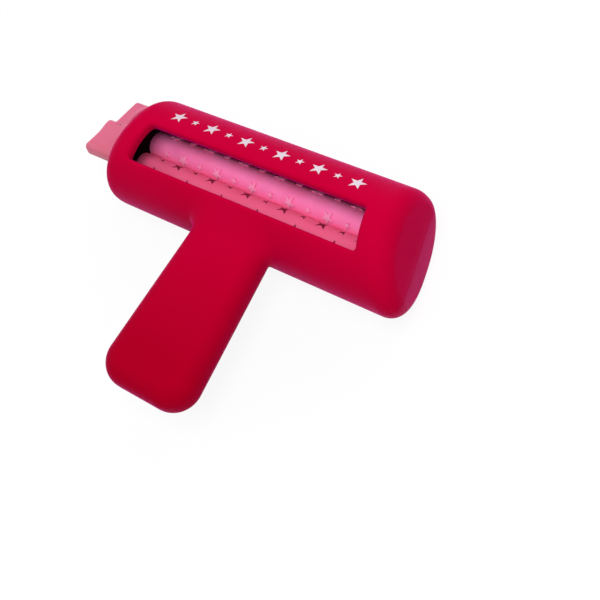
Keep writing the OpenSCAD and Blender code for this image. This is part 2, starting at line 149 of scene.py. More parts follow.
def casingField(x, y, z):
    skin = skinField(x, y, z)
    opening = windowField(x, y, z)
    shell = np.maximum(skin, -skin - casing["wall"])
    # the window's turned-in lip, screw bosses, the plate's ribs and the bosses in the left end
    lip = np.maximum(opening - window["lip"], -skin - window["lipDepth"])
    shell = np.minimum(shell, np.maximum(skin, lip))
    for px, py in headPlaces + handlePlaces:
        shell = np.minimum(shell, np.maximum(skin, np.hypot(x - px, y - py) - screws["boss"]))
    for side in (-1, 1):
        middle = plate["x"] + side * (plate["reach"] + plate["rib"] / 2)
        rib = np.abs(x - middle) - plate["rib"] / 2
        shell = np.minimum(shell, np.maximum(np.maximum(rib, plate["inner"] - np.hypot(y, z)), skin))
    drive = np.hypot(y - rollers["driveY"], z)
    counter = np.hypot(y - counterY, z - counterZ)
    inward = x + leftEnd["seat"]
    keyBoss = roundCut(drive - leftEnd["keyBoss"], -x - leftEnd["keyFace"], leftEnd["keyBossEdge"])
    shell = roundJoin(shell, np.maximum(keyBoss, inward), leftEnd["keyBossFillet"])
    bossLength = np.abs(inward + leftEnd["counterBossHalf"]) - leftEnd["counterBossHalf"]
    shell = np.minimum(shell, np.maximum(counter - leftEnd["counterBoss"], bossLength))
    # openings, screw recesses and the bores for the bushes
    shell = roundCut(shell, -opening, window["rim"])
    shell = roundCut(shell, -slotField(x, y, z), slot["rim"])
    for places, seat in ((headPlaces, screws["headSeat"]), (handlePlaces, screws["handleSeat"])):
        for px, py in places:
            recess = np.maximum(np.hypot(x - px, y - py) - screws["recess"], z - seat)
            shell = roundCut(shell, -recess, screws["recessEdge"])
    shell = np.maximum(shell, -np.maximum(drive - leftEnd["bushBore"], inward - leftEnd["boreLap"]))
    boreLength = np.abs(inward + leftEnd["counterBoreMiddle"]) - leftEnd["counterBoreHalf"]
    return np.maximum(shell, -np.maximum(counter - leftEnd["bushBore"], boreLength))


# painted shade: the casing's inner faces are darkened to near black, the tone of the shade inside the head
inside = {
    "depth": 1.3, "depthFade": 0.7, "clear": 2.6, "clearFade": 1.6, "screwRim": 0.5,
    "farReach": 14.0, "farFrom": 6.0, "farFade": 5.0, "leftFrom": -66.0, "leftFade": 8.0,
}


def insideShare(x, y, z):  # 1 on the inner faces painted dark as shade, 0 on the skin and the walls of the openings
    deep = easeStep((-skinField(x, y, z) - inside["depth"]) / inside["depthFade"])
    # the painted shade stays off the far inner wall, which stays red and shines on the rollers
    far = easeStep((y - inside["farFrom"]) / inside["farFade"])
    redder = inside["farReach"] * far * easeStep((x - inside["leftFrom"]) / inside["leftFade"])
    nearest = np.minimum(windowField(x, y, z) - redder, slotField(x, y, z))
    clear = easeStep((nearest - inside["clear"]) / inside["clearFade"])
    for px, py in headPlaces + handlePlaces:
        hole = np.hypot(x - px, y - py) - screws["recess"]
        recessed = (hole < inside["screwRim"]) & (z < screws["handleSeat"] + inside["screwRim"])
        clear = np.where(recessed, 0, clear)
    return deep * clear


def slopeOf(field, p, reach):
    out = np.zeros_like(p)
    for axis in range(3):
        shift = np.zeros(3)
        shift[axis] = reach
        out[:, axis] = (field(*(p + shift).T) - field(*(p - shift).T)) / (2 * reach)
    return out


settling = {"probe": 0.1, "longest": 0.5, "leastSlope": 0.05, "first": 3, "again": 2}


def settle(field, p, step, rounds):  # moves points onto the surface
    longest = step * settling["longest"]
    for _ in range(rounds):
        slope = slopeOf(field, p, step * settling["probe"])
        move = field(*p.T) / np.maximum((slope * slope).sum(1), settling["leastSlope"])
        p = p - slope * np.clip(move, -longest, longest)[:, None]
    return p


def crossings(grid, count):  # for each cell, the summed places where its edges cross the surface
    total = np.zeros((*count, 3))
    hits = np.zeros(count)

    def corner(i, j, k):
        return grid[i:i + count[0], j:j + count[1], k:k + count[2]]

    for a in np.ndindex(2, 2, 2):
        for b in np.ndindex(2, 2, 2):
            if sum(b) != sum(a) + 1 or sum(abs(m - n) for m, n in zip(a, b)) != 1:
                continue
            va, vb = corner(*a), corner(*b)
            cross = (va < 0) != (vb < 0)
            share = np.where(cross, va / np.where(cross, va - vb, 1), 0)
            for axis in range(3):
                total[..., axis] += np.where(cross, a[axis] + (b[axis] - a[axis]) * share, 0)
            hits += cross
    return total, hits


def netFaces(grid, index):  # a four-sided face round each grid edge that crosses the surface
    faces = []
    for axis in range(3):
        u, v = (axis + 1) % 3, (axis + 2) % 3
        take = [slice(1, -1)] * 3
        lower, upper = list(take), list(take)
        lower[axis] = slice(None, -1)
        upper[axis] = slice(1, None)
        first = grid[tuple(lower)] < 0
        second = grid[tuple(upper)] < 0
        for outward in (True, False):
            at = np.argwhere(first & ~second if outward else ~first & second)
            at[:, u] += 1
            at[:, v] += 1
            quad = []
            for du, dv in ((1, 1), (0, 1), (0, 0), (1, 0)):
                cell = at.copy()
                cell[:, u] -= du
                cell[:, v] -= dv
                quad.append(index[tuple(cell.T)])
            faces.append(np.stack(quad if outward else quad[::-1], 1))
    return np.concatenate(faces)


def netSurface(field, low, high, step, relax):  # points and four-sided faces on field = 0
    axes = [np.arange(a, b + step, step) for a, b in zip(low, high)]
    grid = field(*np.meshgrid(*axes, indexing="ij"))
    count = [n - 1 for n in grid.shape]
    total, hits = crossings(grid, count)
    used = hits > 0
    index = np.full(count, -1)
    index[used] = np.arange(used.sum())
    start = np.array([a[0] for a in axes])
    points = start + (np.argwhere(used) + total[used] / hits[used][:, None]) * step
    faces = netFaces(grid, index)
    points = settle(field, points, step, settling["first"])
    for _ in range(relax):  # evens out the faces, then settles the points again
        near = np.zeros_like(points)
        weight = np.zeros(len(points))
        for a, b in ((0, 1), (1, 2), (2, 3), (3, 0)):
            for m, n in ((a, b), (b, a)):
                np.add.at(near, faces[:, m], points[faces[:, n]])
                np.add.at(weight, faces[:, m], 1)
        middle = 0.5 * points + 0.5 * near / weight[:, None]
        points = settle(field, middle, step, settling["again"])
    return points, faces


def meshPiece(name, points, faces, body, material):
    mesh = bpy.data.meshes.new(name)
    mesh.from_pydata(points.tolist(), [], faces.tolist())
    mesh.polygons.foreach_set("use_smooth", [True] * len(mesh.polygons))
    mesh.update()
    mesh.materials.append(material)
    piece = bpy.data.objects.new(name, mesh)
    scene.collection.objects.link(piece)
    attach(piece, body)
    return piece


def toFrame(points):  # from the barrel's axis in millimetres to the frame in metres
    return (points + [0, axisPlace["y"], axisPlace["z"]]) * mm


# materials

def newMaterial(name):
    made = bpy.data.materials.new(name)
    made.use_nodes = True
    tree = made.node_tree
    shader = tree.nodes["Principled BSDF"]
    coords = tree.nodes.new("ShaderNodeTexCoord")
    return made, tree, shader, coords.outputs["Object"]


def noiseOf(tree, coords, scale, detail=3.0, rough=0.55, stretch=None):
    noise = tree.nodes.new("ShaderNodeTexNoise")
    noise.inputs["Scale"].default_value = scale
    noise.inputs["Detail"].default_value = detail
    noise.inputs["Roughness"].default_value = rough
    if stretch:
        mapping = tree.nodes.new("ShaderNodeMapping")
        mapping.inputs["Scale"].default_value = stretch
        tree.links.new(coords, mapping.inputs["Vector"])
        coords = mapping.outputs["Vector"]
    tree.links.new(coords, noise.inputs["Vector"])
    return noise.outputs["Fac"]


def rangeOf(tree, value, low, high, fromLow=0.3, fromHigh=0.7):
    node = tree.nodes.new("ShaderNodeMapRange")
    node.inputs["From Min"].default_value = fromLow
    node.inputs["From Max"].default_value = fromHigh
    node.inputs["To Min"].default_value = low
    node.inputs["To Max"].default_value = high
    tree.links.new(value, node.inputs["Value"])
    return node.outputs["Result"]


def setSockets(tree, sockets, values):  # numbers go on the socket, anything else is linked to it
    for socket, value in zip(sockets, values):
        if isinstance(value, (int, float)):
            socket.default_value = value
        else:
            tree.links.new(value, socket)


def mathOf(tree, kind, *values):
    node = tree.nodes.new("ShaderNodeMath")
    node.operation = kind
    setSockets(tree, node.inputs, values)
    return node.outputs["Value"]


def vectorOf(tree, x, y, z):
    node = tree.nodes.new("ShaderNodeCombineXYZ")
    setSockets(tree, node.inputs, (x, y, z))
    return node.outputs["Vector"]


def splitOf(tree, vector):
    node = tree.nodes.new("ShaderNodeSeparateXYZ")
    tree.links.new(vector, node.inputs[0])
    return node.outputs


def mixColour(tree, share, a, b):
    node = tree.nodes.new("ShaderNodeMix")
    node.data_type = "RGBA"
    tree.links.new(share, node.inputs[0])
    for socket, value in ((node.inputs[6], a), (node.inputs[7], b)):
        if isinstance(value, tuple):
            socket.default_value = (*value, 1)
        else:
            tree.links.new(value, socket)
    return node.outputs[2]


def bumpOf(tree, shader, height, strength, distance, base=None):
    node = tree.nodes.new("ShaderNodeBump")
    node.inputs["Strength"].default_value = strength
    node.inputs["Distance"].default_value = distance
    tree.links.new(height, node.inputs["Height"])
    if base is not None:
        tree.links.new(base, node.inputs["Normal"])
    tree.links.new(node.outputs["Normal"], shader.inputs["Normal"])


def softEdge(tree, radius):
    node = tree.nodes.new("ShaderNodeBevel")
    node.samples = 6
    node.inputs["Radius"].default_value = radius
    return node.outputs["Normal"]


# lengths in the finishes are in metres, and noise scales are per metre
finishes = {
    "casing": {
        # painted shade: the handle's tone is darker and less blue than the head's, for the light that falls
        # off towards the butt
        "bright": (0.465, 0.0, 0.030), "deep": (0.425, 0.0, 0.023), "handleShade": (0.330, 0.0, 0.012),
        # painted shade: a near-black tone for the inner faces
        "inside": (0.016, 0.001, 0.004), "handleShadeFrom": -0.004, "handleShadeTo": -0.075,
        "cloud": 14, "gleam": 240, "rough": (0.36, 0.46),
        "grain": 1900, "bump": 0.12, "bumpHeight": 0.00006,
        "specular": 0.008, "specularTint": (1.0, 0.0, 0.5),
        "sheen": 0.26, "sheenRough": 0.35, "sheenTint": (1.0, 0.0, 0.7),
    },
    # painted light: both roller tones are raised to make up for the shade inside the window, and the drive
    # roller is tinted magenta and the counter roller salmon for the differently coloured light that fell on
    # each
    "drive": {"bright": (1.0, 0.235, 0.53), "deep": (0.96, 0.18, 0.43)},
    "counter": {"bright": (1.0, 0.15, 0.315), "deep": (0.96, 0.12, 0.265)},
    "stars": {
        # painted highlight on the raised stars, painted shade in the sunk ones
        "raised": (1.0, 0.33, 0.57), "raisedFrom": 0.00025, "raisedTo": 0.0005,
        "sunk": (0.22, 0.004, 0.035), "sunkFrom": -0.0006, "sunkTo": -0.00012,
    },
    "key": {"bright": (0.60, 0.130, 0.215), "deep": (0.56, 0.110, 0.175)},
    "print": {"bright": (0.63, 0.56, 0.575), "deep": (0.55, 0.48, 0.495)},
}
moulding = {
    "cloud": 60, "gleam": 420, "smoother": 0.05, "rougher": 0.06, "grain": 2100, "bump": 0.1,
    "bumpHeight": 0.00005, "scatterReach": (0.0016, 0.0006, 0.0007),
}
machined = {"detail": 4, "noiseRough": 0.6, "roughSpread": 0.08, "bump": 0.1, "bumpHeight": 0.00004}


def casingFinish():
    f = finishes["casing"]
    made, tree, shader, coords = newMaterial("crimsonCasing")
    cloud = rangeOf(tree, noiseOf(tree, coords, f["cloud"], 2), 0, 1)
    tone = mixColour(tree, cloud, f["bright"], f["deep"])
    # painted shade: darker and less blue towards the handle's butt, where less light falls
    shadeTowardsButt = rangeOf(tree, splitOf(tree, coords)["Y"], 0, 1, f["handleShadeFrom"], f["handleShadeTo"])
    tone = mixColour(tree, shadeTowardsButt, tone, f["handleShade"])
    # painted shade: the inner faces take the near-black tone
    share = tree.nodes.new("ShaderNodeAttribute")
    share.attribute_name = "inside"
    tone = mixColour(tree, share.outputs["Fac"], tone, f["inside"])
    tree.links.new(tone, shader.inputs["Base Color"])
    gleam = rangeOf(tree, noiseOf(tree, coords, f["gleam"], 4), *f["rough"])
    tree.links.new(gleam, shader.inputs["Roughness"])
    bumpOf(tree, shader, noiseOf(tree, coords, f["grain"], 2), f["bump"], f["bumpHeight"])
    shader.inputs["Specular IOR Level"].default_value = f["specular"]
    shader.inputs["Specular Tint"].default_value = (*f["specularTint"], 1)
    shader.inputs["Sheen Weight"].default_value = f["sheen"]
    shader.inputs["Sheen Roughness"].default_value = f["sheenRough"]
    shader.inputs["Sheen Tint"].default_value = (*f["sheenTint"], 1)
    return made


def moulded(name, finish, rough, tint=(1, 1, 1), edge=0.0, scatter=0.0, gloss=0.3):
    f = finishes[finish]
    m = moulding
    made, tree, shader, coords = newMaterial(name)
    cloud = rangeOf(tree, noiseOf(tree, coords, m["cloud"], 3), 0, 1)
    tree.links.new(mixColour(tree, cloud, f["bright"], f["deep"]), shader.inputs["Base Color"])
    gleam = noiseOf(tree, coords, m["gleam"], 4)
    gleam = rangeOf(tree, gleam, rough - m["smoother"], rough + m["rougher"])
    tree.links.new(gleam, shader.inputs["Roughness"])
    base = softEdge(tree, edge) if edge else None
    bumpOf(tree, shader, noiseOf(tree, coords, m["grain"], 2), m["bump"], m["bumpHeight"], base)
    shader.inputs["Specular Tint"].default_value = (*tint, 1)
    shader.inputs["Specular IOR Level"].default_value = gloss
    shader.inputs["Subsurface Weight"].default_value = scatter
    shader.inputs["Subsurface Radius"].default_value = m["scatterReach"]
    return made


def rollerFinish(name, finish, axisY, axisZ):  # raised stars paler as painted highlight, sunk stars darker as painted shade, told by their height
    f = finishes["stars"]
    made = moulded(name, finish, 0.40, (1.0, 0.8, 0.9), edge=0.00015, scatter=0.1, gloss=0.22)
    tree = made.node_tree
    shader = tree.nodes["Principled BSDF"]
    coords = next(n for n in tree.nodes if n.type == "TEX_COORD").outputs["Object"]
    split = splitOf(tree, coords)
    across = mathOf(tree, "SUBTRACT", split["Y"], axisY * mm)
    up = mathOf(tree, "SUBTRACT", split["Z"], axisZ * mm)
    acrossSquare = mathOf(tree, "MULTIPLY", across, across)
    upSquare = mathOf(tree, "MULTIPLY", up, up)
    away = mathOf(tree, "SQRT", mathOf(tree, "ADD", acrossSquare, upSquare))
    height = mathOf(tree, "SUBTRACT", away, rollers["radius"] * mm)
    tone = shader.inputs["Base Color"].links[0].from_socket
    # painted highlight: the raised stars are paler
    tone = mixColour(tree, rangeOf(tree, height, 0, 1, f["raisedFrom"], f["raisedTo"]), tone, f["raised"])
    # painted shade: the sunk stars are darker
    tone = mixColour(tree, rangeOf(tree, height, 1, 0, f["sunkFrom"], f["sunkTo"]), tone, f["sunk"])
    tree.links.new(tone, shader.inputs["Base Color"])
    return made


def machinedFinish(name, bright, deep, rough, metal=0.0, grain=700, stretch=None, edge=0.0):
    made, tree, shader, coords = newMaterial(name)
    speck = noiseOf(tree, coords, grain, machined["detail"], machined["noiseRough"], stretch)
    tree.links.new(mixColour(tree, rangeOf(tree, speck, 0, 1), bright, deep), shader.inputs["Base Color"])
    swing = machined["roughSpread"]
    tree.links.new(rangeOf(tree, speck, rough - swing, rough + swing), shader.inputs["Roughness"])
    shader.inputs["Metallic"].default_value = metal
    base = softEdge(tree, edge) if edge else None
    bumpOf(tree, shader, speck, machined["bump"], machined["bumpHeight"], base)
    return made


crimson = casingFinish()
drivePink = rollerFinish("drivePink", "drive", axisPlace["y"] + rollers["driveY"], axisPlace["z"])
counterPink = rollerFinish("counterPink", "counter", axisPlace["y"] + counterY, axisPlace["z"] + counterZ)
driveHub = moulded("driveHubPink", "drive", 0.38, (1.0, 0.75, 0.9), edge=0.00022, scatter=0.1)
counterHub = moulded("counterHubPink", "counter", 0.38, (1.0, 0.75, 0.9), edge=0.00022, scatter=0.1)
keyPink = moulded("keyPink", "key", 0.36, (1.0, 0.85, 0.9), scatter=0.15)
starInk = moulded("starInk", "print", 0.5)
steel = machinedFinish(
    "turnedSteel", (0.62, 0.63, 0.65), (0.45, 0.46, 0.48), 0.3,
    metal=1.0, grain=900, stretch=(8, 1, 1), edge=0.0001
)
dullSteel = machinedFinish(
    "dullSteel", (0.60, 0.19, 0.26), (0.50, 0.15, 0.20), 0.5, metal=0.1, grain=900, edge=0.0001
)
nylon = machinedFinish("paleNylon", (0.78, 0.75, 0.68), (0.70, 0.67, 0.60), 0.5, edge=0.0001)
blackPlate = machinedFinish("blackPlate", (0.010, 0.010, 0.012), (0.018, 0.018, 0.020), 0.55, edge=0.00015)
print("materials made")

# the casing: one skin, parted along the seam

points, faces = netSurface(
    casingField, casing["boxLow"], casing["boxHigh"], casing["step"], casing["relax"]
)
whole = bpy.data.meshes.new("casingWhole")
whole.from_pydata(toFrame(points).tolist(), [], faces.tolist())
# painted shade: how much of the near-black shade each point takes
shares = whole.attributes.new("inside", "FLOAT", "POINT")
shares.data.foreach_set("value", insideShare(*points.T))
print("casing skin:", len(points), "points")


def casingHalf(name, node, side):
    bm = bmesh.new()
    bm.from_mesh(whole)
    level = (axisPlace["z"] + side * casing["seam"] / 2) * mm
    everything = bm.verts[:] + bm.edges[:] + bm.faces[:]
    bmesh.ops.bisect_plane(
        bm, geom=everything, dist=1e-7, plane_co=(0, 0, level), plane_no=(0, 0, -side), clear_outer=True
    )
    rim = [e for e in bm.edges if e.is_boundary]
    for f in bm.faces:
        f.smooth = True
    for e in rim:
        e.smooth = False
    made = bmesh.ops.triangle_fill(bm, use_beauty=True, use_dissolve=False, edges=rim, normal=(0, 0, -side))
    for f in made["geom"]:
        if isinstance(f, bmesh.types.BMFace):
            f.smooth = False
    mesh = bpy.data.meshes.new(name)
    bm.to_mesh(mesh)
    bm.free()
    mesh.materials.append(crimson)
    piece = bpy.data.objects.new(name, mesh)
    scene.collection.objects.link(piece)
    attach(piece, "casing")
    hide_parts(node)
    print(name, len(mesh.polygons), "faces")


casingHalf("frontCasing", "front_shell", 1)
casingHalf("backCasing", "back_shell", -1)
bpy.data.meshes.remove(whole)

# the turn key

key = {
    "turn": 17.2, "flangeIn": 81.93, "flangeThick": 2.2, "flange": 16.0, "flangeEdge": 0.8, "fillet": 1.2,
    "tall": 22.4, "low": 18.3, "tallSide": 19.2, "lowSide": 17.2, "step": 0.9, "stepFillet": 0.5,
    "thick": 8.3, "drop": 0.45, "corner": 1.8, "root": 2.0, "rootIn": 0.5,
    "edge": 1.3, "softer": 1.9, "softerFrom": 1.0, "softerOver": 8.0,
    "grubOut": 98.23, "grubHole": 1.28, "grubEdge": 0.25, "bore": 2.53, "boreEnd": 100.46,
    "boxLow": (-108.5, -18.5, -18), "boxHigh": (-80.5, 24.5, 18), "grain": 0.45, "relax": 2,
}


def keyField(x, y, z):
    turn = math.radians(key["turn"])
    y = y - rollers["driveY"]
    out = -x
    v = y * math.cos(turn) - z * math.sin(turn)  # across the grip, towards its low half
    w = y * math.sin(turn) + z * math.cos(turn)  # through the grip
    base = key["flangeIn"] + key["flangeThick"]
    root = key["root"]
    tallHalf = (key["tall"] / 2 + root, (key["step"] + key["tallSide"]) / 2)
    tallMiddle = (key["step"] - key["tallSide"]) / 2
    tall = roundBox(out - base - key["tall"] / 2 + root, v - tallMiddle, tallHalf, key["corner"])
    lowHalf = (key["low"] / 2 + root, key["lowSide"] / 2 + root)
    lowMiddle = key["lowSide"] / 2 - root
    low = roundBox(out - base - key["low"] / 2 + root, v - lowMiddle, lowHalf, key["corner"])
    softer = key["softer"] * easeStep((-v - key["softerFrom"]) / key["softerOver"])
    tall = roundCut(tall, np.abs(w) - key["thick"] / 2, key["edge"] + softer)
    low = roundCut(low, np.abs(w) - key["thick"] / 2 + key["drop"], key["edge"])
    blade = roundJoin(tall, low, key["stepFillet"])
    blade = np.maximum(blade, key["flangeIn"] + key["rootIn"] - out)
    flangeSides = np.abs(out - base + key["flangeThick"] / 2) - key["flangeThick"] / 2
    flange = roundCut(np.hypot(v, w) - key["flange"], flangeSides, key["flangeEdge"])
    body = roundJoin(blade, flange, key["fillet"])
    grubHole = np.maximum(np.hypot(out - key["grubOut"], v) - key["grubHole"], -w)
    body = roundCut(body, -grubHole, key["grubEdge"])
    return np.maximum(body, -np.maximum(np.hypot(v, w) - key["bore"], out - key["boreEnd"]))


points, faces = netSurface(keyField, key["boxLow"], key["boxHigh"], key["grain"], key["relax"])
turnKey = meshPiece("turnKey", toFrame(points), faces, "drive", keyPink)
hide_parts("turn_key")
print("turn key:", len(points), "points")

# stars and screws, set out by Geometry Nodes

def placeTree(name, labels):
    tree = bpy.data.node_groups.new(name, "GeometryNodeTree")
    tree.interface.new_socket("Geometry", in_out="INPUT", socket_type="NodeSocketGeometry")
    for label, kind in labels.items():
        tree.interface.new_socket(label, in_out="INPUT", socket_type="NodeSocket" + kind)
    tree.interface.new_socket("Geometry", in_out="OUTPUT", socket_type="NodeSocketGeometry")
    start = tree.nodes.new("NodeGroupInput")
    end = tree.nodes.new("NodeGroupOutput")
    return tree, start.outputs, end.inputs["Geometry"]


def spread(tree, source, count, place, size):  # a copy of the source at each place, made real
    dots = tree.nodes.new("GeometryNodePoints")
    tree.links.new(count, dots.inputs["Count"])
    tree.links.new(place, dots.inputs["Position"])
    copies = tree.nodes.new("GeometryNodeInstanceOnPoints")
    tree.links.new(dots.outputs[0], copies.inputs["Points"])
    tree.links.new(source, copies.inputs["Instance"])
    if size is not None:
        tree.links.new(size, copies.inputs["Scale"])
    real = tree.nodes.new("GeometryNodeRealizeInstances")
    tree.links.new(copies.outputs[0], real.inputs[0])
    return real.outputs[0]


def coat(tree, source, material, out):
    node = tree.nodes.new("GeometryNodeSetMaterial")
    tree.links.new(source, node.inputs["Geometry"])
    tree.links.new(material, node.inputs["Material"])
    tree.links.new(node.outputs[0], out)


def growPiece(name, mesh, tree, values):  # the tree's result as a plain mesh
    piece = bpy.data.objects.new(name, mesh)
    scene.collection.objects.link(piece)
    modifier = piece.modifiers.new(name, "NODES")
    modifier.node_group = tree
    for item in tree.interface.items_tree:
        if item.in_out == "INPUT" and item.name in values:
            modifier[item.identifier] = values[item.name]
    grown = bpy.data.meshes.new_from_object(piece.evaluated_get(bpy.context.evaluated_depsgraph_get()))
    piece.modifiers.clear()
    piece.data = grown
    return piece


def starTree():  # stars in rows round a cylinder that lies along X
    tree, given, out = placeTree("starRows", {
        "count": "Int", "rows": "Int", "first": "Int", "start": "Float", "step": "Float",
        "largeStar": "Float", "smallStar": "Float", "relief": "Float", "sink": "Float",
        "radiusY": "Float", "radiusZ": "Float", "axisY": "Float", "axisZ": "Float",
        "turn": "Float", "finish": "Material",
    })

    def do(kind, *values):
        return mathOf(tree, kind, *values)

    # rows lie flat first, large and small stars in turn
    index = tree.nodes.new("GeometryNodeInputIndex").outputs[0]
    row = do("FLOOR", do("DIVIDE", do("ADD", index, 0.5), given["count"]))
    column = do("SUBTRACT", index, do("MULTIPLY", row, given["count"]))
    along = do("ADD", given["start"], do("MULTIPLY", column, given["step"]))
    girth = do("MULTIPLY", given["radiusY"], 2 * math.pi)
    around = do("MULTIPLY", do("DIVIDE", row, given["rows"]), girth)
    large = do("FLOORED_MODULO", do("ADD", do("ADD", row, column), given["first"]), 2.0)
    gain = do("SUBTRACT", given["largeStar"], given["smallStar"])
    size = do("ADD", given["smallStar"], do("MULTIPLY", large, gain))
    total = do("MULTIPLY", given["count"], given["rows"])
    place = vectorOf(tree, along, around, 0.0)
    stars = spread(tree, given["Geometry"], total, place, vectorOf(tree, size, size, 1.0))
    # then they are wrapped round the axis
    split = splitOf(tree, tree.nodes.new("GeometryNodeInputPosition").outputs[0])
    angle = do("ADD", do("DIVIDE", split["Y"], given["radiusY"]), given["turn"])
    tall = do("ADD", given["relief"], given["sink"])
    height = do("SUBTRACT", do("MULTIPLY", split["Z"], tall), given["sink"])
    reachY = do("MULTIPLY", do("ADD", given["radiusY"], height), do("SINE", angle))
    reachZ = do("MULTIPLY", do("ADD", given["radiusZ"], height), do("COSINE", angle))
    bent = vectorOf(tree, split["X"], do("ADD", reachY, given["axisY"]), do("ADD", reachZ, given["axisZ"]))
    wrap = tree.nodes.new("GeometryNodeSetPosition")
    tree.links.new(stars, wrap.inputs["Geometry"])
    tree.links.new(bent, wrap.inputs["Position"])
    coat(tree, wrap.outputs[0], given["finish"], out)
    return tree


star = {"corners": 10, "waist": 0.4, "rings": (0.4, 0.72, 0.93)}


def unitStar(name, tip):  # one star of radius 1, from z 0 at its foot to z 1 at its top
    n = star["corners"]
    spots = [(0, 0, 1)]
    sides = []
    levels = [(r, 1.0) for r in star["rings"]] + [(1.0, 0.0)]
    for share, z in levels:
        for i in range(n):
            r = share * (1.0 if i % 2 == 0 else star["waist"])
            a = math.radians(360 / n * i + tip)
            spots.append((r * math.cos(a), r * math.sin(a), z))
    spots.append((0, 0, 0))
    last = 1 + n * (len(levels) - 1)
    for i in range(n):
        j = (i + 1) % n
        sides.append((0, 1 + i, 1 + j))
        for ring in range(len(levels) - 1):
            a = 1 + n * ring
            sides.append((a + i, a + n + i, a + n + j, a + j))
        sides.append((last + j, last + i, last + n))
    mesh = bpy.data.meshes.new(name)
    mesh.from_pydata(spots, [], sides)
    return mesh


def turned(name, profile, centreY, centreZ, segments=96):  # a closed ring turned about X
    spots = []
    sides = []
    for s in range(segments):
        a = 2 * math.pi * s / segments
        spots += [(x, centreY + r * math.cos(a), centreZ + r * math.sin(a)) for x, r in profile]
    n = len(profile)
    for s in range(segments):
        t = (s + 1) % segments
        sides += [(s * n + k, t * n + k, t * n + (k + 1) % n, s * n + (k + 1) % n) for k in range(n)]
    mesh = bpy.data.meshes.new(name)
    mesh.from_pydata(spots, [], sides)
    return mesh


rowsOfStars = starTree()
starPrint = {
    "count": 11, "rows": 1, "first": 1, "start": -50 * mm, "step": 10 * mm,
    "largeStar": 4.4 * mm, "smallStar": 2.2 * mm, "relief": 0.07 * mm, "sink": 0.4 * mm,
    "radiusY": casing["radiusY"] * mm, "radiusZ": casing["radiusZ"] * mm,
    "axisY": axisPlace["y"] * mm, "axisZ": axisPlace["z"] * mm, "turn": math.radians(30), "finish": starInk,
}
printedStars = growPiece("printedStars", unitStar("printStar", 90), rowsOfStars, starPrint)
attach(printedStars, "casing")
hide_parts("star_print")

driveStars = {
    "count": 12, "rows": 4, "first": 0, "start": -61.2 * mm, "step": 10.6 * mm,
    "largeStar": 3.3 * mm, "smallStar": 1.7 * mm, "relief": 0.58 * mm, "sink": 0.3 * mm,
    "radiusY": rollers["radius"] * mm, "radiusZ": rollers["radius"] * mm,
    "axisY": (axisPlace["y"] + rollers["driveY"]) * mm, "axisZ": axisPlace["z"] * mm,
    "turn": math.radians(-43.5), "finish": drivePink,
}
sleeve = {"left": -70.5, "right": 61.0, "bore": 4.4, "chamfer": 0.25, "sharp": 28.0}


def makeDriveSleeve():
    piece = growPiece("starSleeve", unitStar("rollerStar", -90), rowsOfStars, driveStars)
    left, right, bore, chamfer = [sleeve[k] for k in ("left", "right", "bore", "chamfer")]
    radius = rollers["radius"]
    profile = [
        (left, bore), (right, bore), (right, radius - chamfer),
        (right - chamfer, radius), (left + chamfer, radius), (left, radius - chamfer),
    ]
    profile = [(x * mm, r * mm) for x, r in profile]
    tube = turned("sleeveTube", profile, driveStars["axisY"], driveStars["axisZ"])
    bm = bmesh.new()
    bm.from_mesh(piece.data)
    bm.from_mesh(tube)
    for f in bm.faces:
        f.smooth = True
        f.material_index = 0
    bm.to_mesh(piece.data)
    bm.free()
    piece.data.materials.clear()
    piece.data.materials.append(drivePink)
    piece.data.set_sharp_from_angle(angle=math.radians(sleeve["sharp"]))
    bpy.data.meshes.remove(tube)
    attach(piece, "drive")
    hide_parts("drive_sleeve")
    return piece


starSleeve = makeDriveSleeve()
printFaces = len(printedStars.data.polygons)
print("star faces:", printFaces, "printed,", len(starSleeve.data.polygons), "on the roller")


def screwTree():  # four screws at the corners of a rectangle
    tree, given, out = placeTree("screwSet", {
        "reachX": "Float", "lowY": "Float", "highY": "Float", "seatZ": "Float", "finish": "Material",
    })
    index = tree.nodes.new("GeometryNodeInputIndex").outputs[0]
    right = mathOf(tree, "FLOORED_MODULO", index, 2.0)
    far = mathOf(tree, "FLOOR", mathOf(tree, "DIVIDE", index, 2.0))
    sign = mathOf(tree, "SUBTRACT", mathOf(tree, "MULTIPLY", right, 2.0), 1.0)
    gain = mathOf(tree, "SUBTRACT", given["highY"], given["lowY"])
    placeY = mathOf(tree, "ADD", given["lowY"], mathOf(tree, "MULTIPLY", far, gain))
    place = vectorOf(tree, mathOf(tree, "MULTIPLY", sign, given["reachX"]), placeY, given["seatZ"])
    four = tree.nodes.new("FunctionNodeInputInt")
    four.integer = 4
    coat(tree, spread(tree, given["Geometry"], four.outputs[0], place, None), given["finish"], out)
    return tree


screw = {
    "head": 2.8, "headHigh": 2.0, "headRound": ((0.45, 0.0), (0.12, 0.16), (0.0, 0.55)),
    "shank": 1.4, "point": 0.6, "crossLong": 1.55, "crossWide": 0.42, "crossDeep": 1.1,
    "crossFloor": (0.55, 0.8), "sides": 32, "sharp": 35.0,
}


